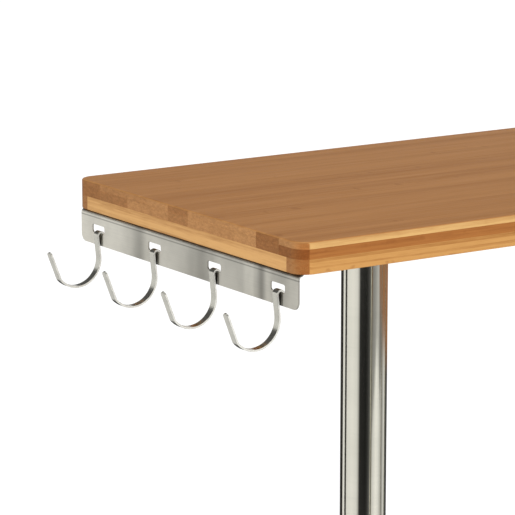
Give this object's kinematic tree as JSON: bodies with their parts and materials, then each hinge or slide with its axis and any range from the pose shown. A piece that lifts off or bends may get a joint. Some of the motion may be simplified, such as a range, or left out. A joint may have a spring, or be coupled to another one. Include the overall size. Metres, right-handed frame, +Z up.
{
  "type": "butcher block table",
  "caption": "Narrow laminated bamboo worktable on round steel tube legs with levelling feet, and a slotted steel rail of hanging hooks under one end.",
  "frame": {"origin": "on the floor, under the centre of the object's bounding box, hooks included", "axes": "+Z up; +X along the length, away from the hook rail; +Y towards the back"},
  "size_m": [1.2568, 0.4, 0.9],
  "materials": {
    "bamboo_light": "oiled natural bamboo, satin",
    "bamboo_dark": "oiled carbonised bamboo, satin",
    "polished_steel": "polished stainless steel with faint round-the-tube brushing",
    "brushed_steel": "satin stainless steel",
    "zinc_steel": "bright zinc plate",
    "black_plastic": "black moulded plastic, fine texture"
  },
  "bodies": {
    "table": {"upper_ply": "bamboo_light", "core_ply": "bamboo_dark", "band_front": "bamboo_light", "band_back": "bamboo_light", "band_left": "bamboo_light", "band_right": "bamboo_light", "batten_left": "bamboo_light", "batten_right": "bamboo_light", "batten_middle": "bamboo_light", "leg_tube_front_left": "polished_steel", "leg_plate_front_left": "polished_steel", "leg_screw_front_left_1": "zinc_steel", "leg_screw_front_left_2": "zinc_steel", "leg_screw_front_left_3": "zinc_steel", "leg_screw_front_left_4": "zinc_steel", "tube_plug_front_left": "black_plastic", "leg_tube_rear_left": "polished_steel", "leg_plate_rear_left": "polished_steel", "leg_screw_rear_left_1": "zinc_steel", "leg_screw_rear_left_2": "zinc_steel", "leg_screw_rear_left_3": "zinc_steel", "leg_screw_rear_left_4": "zinc_steel", "tube_plug_rear_left": "black_plastic", "leg_tube_front_right": "polished_steel", "leg_plate_front_right": "polished_steel", "leg_screw_front_right_1": "zinc_steel", "leg_screw_front_right_2": "zinc_steel", "leg_screw_front_right_3": "zinc_steel", "leg_screw_front_right_4": "zinc_steel", "tube_plug_front_right": "black_plastic", "leg_tube_rear_right": "polished_steel", "leg_plate_rear_right": "polished_steel", "leg_screw_rear_right_1": "zinc_steel", "leg_screw_rear_right_2": "zinc_steel", "leg_screw_rear_right_3": "zinc_steel", "leg_screw_rear_right_4": "zinc_steel", "tube_plug_rear_right": "black_plastic", "hook_rail": "brushed_steel", "rail_screw_1": "zinc_steel", "rail_screw_2": "zinc_steel", "rail_screw_3": "zinc_steel", "rail_screw_4": "zinc_steel"},
    "hanging_hook_1": {"hook_1": "brushed_steel"},
    "hanging_hook_2": {"hook_2": "brushed_steel"},
    "hanging_hook_3": {"hook_3": "brushed_steel"},
    "hanging_hook_4": {"hook_4": "brushed_steel"},
    "foot_front_left": {"foot_pad_front_left": "black_plastic", "foot_stem_front_left": "zinc_steel"},
    "foot_rear_left": {"foot_pad_rear_left": "black_plastic", "foot_stem_rear_left": "zinc_steel"},
    "foot_front_right": {"foot_pad_front_right": "black_plastic", "foot_stem_front_right": "zinc_steel"},
    "foot_rear_right": {"foot_pad_rear_right": "black_plastic", "foot_stem_rear_right": "zinc_steel"}
  },
  "joints": [
    {"name": "hook_1_swing", "type": "hinge", "parent": "table", "child": "hanging_hook_1", "pos_m": [-0.56989, 0.1585, 0.8492], "axis": [0, 1, 0], "range_deg": [0, 14]},
    {"name": "hook_2_swing", "type": "hinge", "parent": "table", "child": "hanging_hook_2", "pos_m": [-0.56989, 0.0515, 0.8492], "axis": [0, 1, 0], "range_deg": [0, 14]},
    {"name": "hook_3_swing", "type": "hinge", "parent": "table", "child": "hanging_hook_3", "pos_m": [-0.56989, -0.0555, 0.8492], "axis": [0, 1, 0], "range_deg": [0, 14]},
    {"name": "hook_4_swing", "type": "hinge", "parent": "table", "child": "hanging_hook_4", "pos_m": [-0.56989, -0.1625, 0.8492], "axis": [0, 1, 0], "range_deg": [0, 14]},
    {"name": "foot_front_left_height", "type": "slide", "parent": "table", "child": "foot_front_left", "axis": [0, 0, -1], "range_m": [0, 0.02]},
    {"name": "foot_rear_left_height", "type": "slide", "parent": "table", "child": "foot_rear_left", "axis": [0, 0, -1], "range_m": [0, 0.02]},
    {"name": "foot_front_right_height", "type": "slide", "parent": "table", "child": "foot_front_right", "axis": [0, 0, -1], "range_m": [0, 0.02]},
    {"name": "foot_rear_right_height", "type": "slide", "parent": "table", "child": "foot_rear_right", "axis": [0, 0, -1], "range_m": [0, 0.02]}
  ]
}
